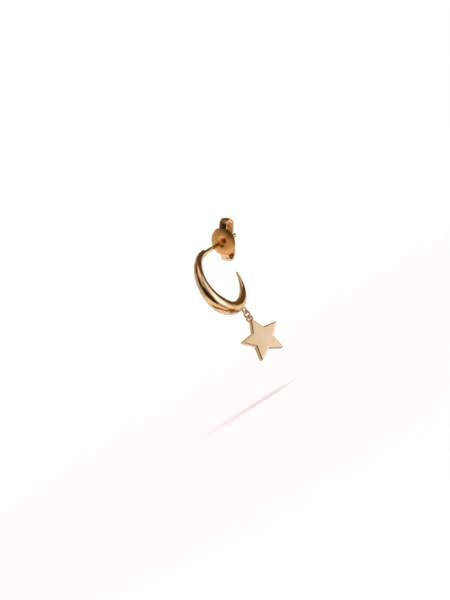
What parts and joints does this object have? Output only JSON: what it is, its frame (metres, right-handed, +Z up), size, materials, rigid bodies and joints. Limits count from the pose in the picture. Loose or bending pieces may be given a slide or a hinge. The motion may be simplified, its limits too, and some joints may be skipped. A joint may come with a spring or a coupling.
{
  "type": "hoop earring with star drop",
  "caption": "Tapered three-quarter hoop earring with a straight post, a sliding butterfly back, and a thick flat star that swings from a jump ring.",
  "frame": {"origin": "root of the post, on its axis, where the front of the ear lobe rests", "axes": "+Y along the post to the back of the ear, +Z up as worn; the hoop lies in the plane X = 0"},
  "size_m": [0.0056, 0.0181, 0.0251],
  "materials": {
    "polished_gold": "polished",
    "pressed_gold": "satin",
    "wire_gold": "polished",
    "star_gold": "polished"
  },
  "bodies": {
    "hoop": {"hoop": "polished_gold"},
    "butterfly_back": {"butterfly_back": "pressed_gold"},
    "jump_ring": {"jump_ring": "wire_gold"},
    "star_pendant": {"star_pendant": "star_gold"}
  },
  "joints": [
    {"name": "back_slide", "type": "slide", "parent": "hoop", "child": "butterfly_back", "axis": [0, 1, 0], "range_m": [-0.0042, 0.006]},
    {"name": "ring_swing", "type": "hinge", "parent": "hoop", "child": "jump_ring", "pos_m": [0, 0.00133, -0.01289], "axis": [0, 1, 0], "range_deg": [-60, 60]},
    {"name": "star_swing", "type": "hinge", "parent": "jump_ring", "child": "star_pendant", "pos_m": [0, 0.00133, -0.01389], "axis": [0.9613, -0.2756, 0], "range_deg": [-45, 60]}
  ]
}
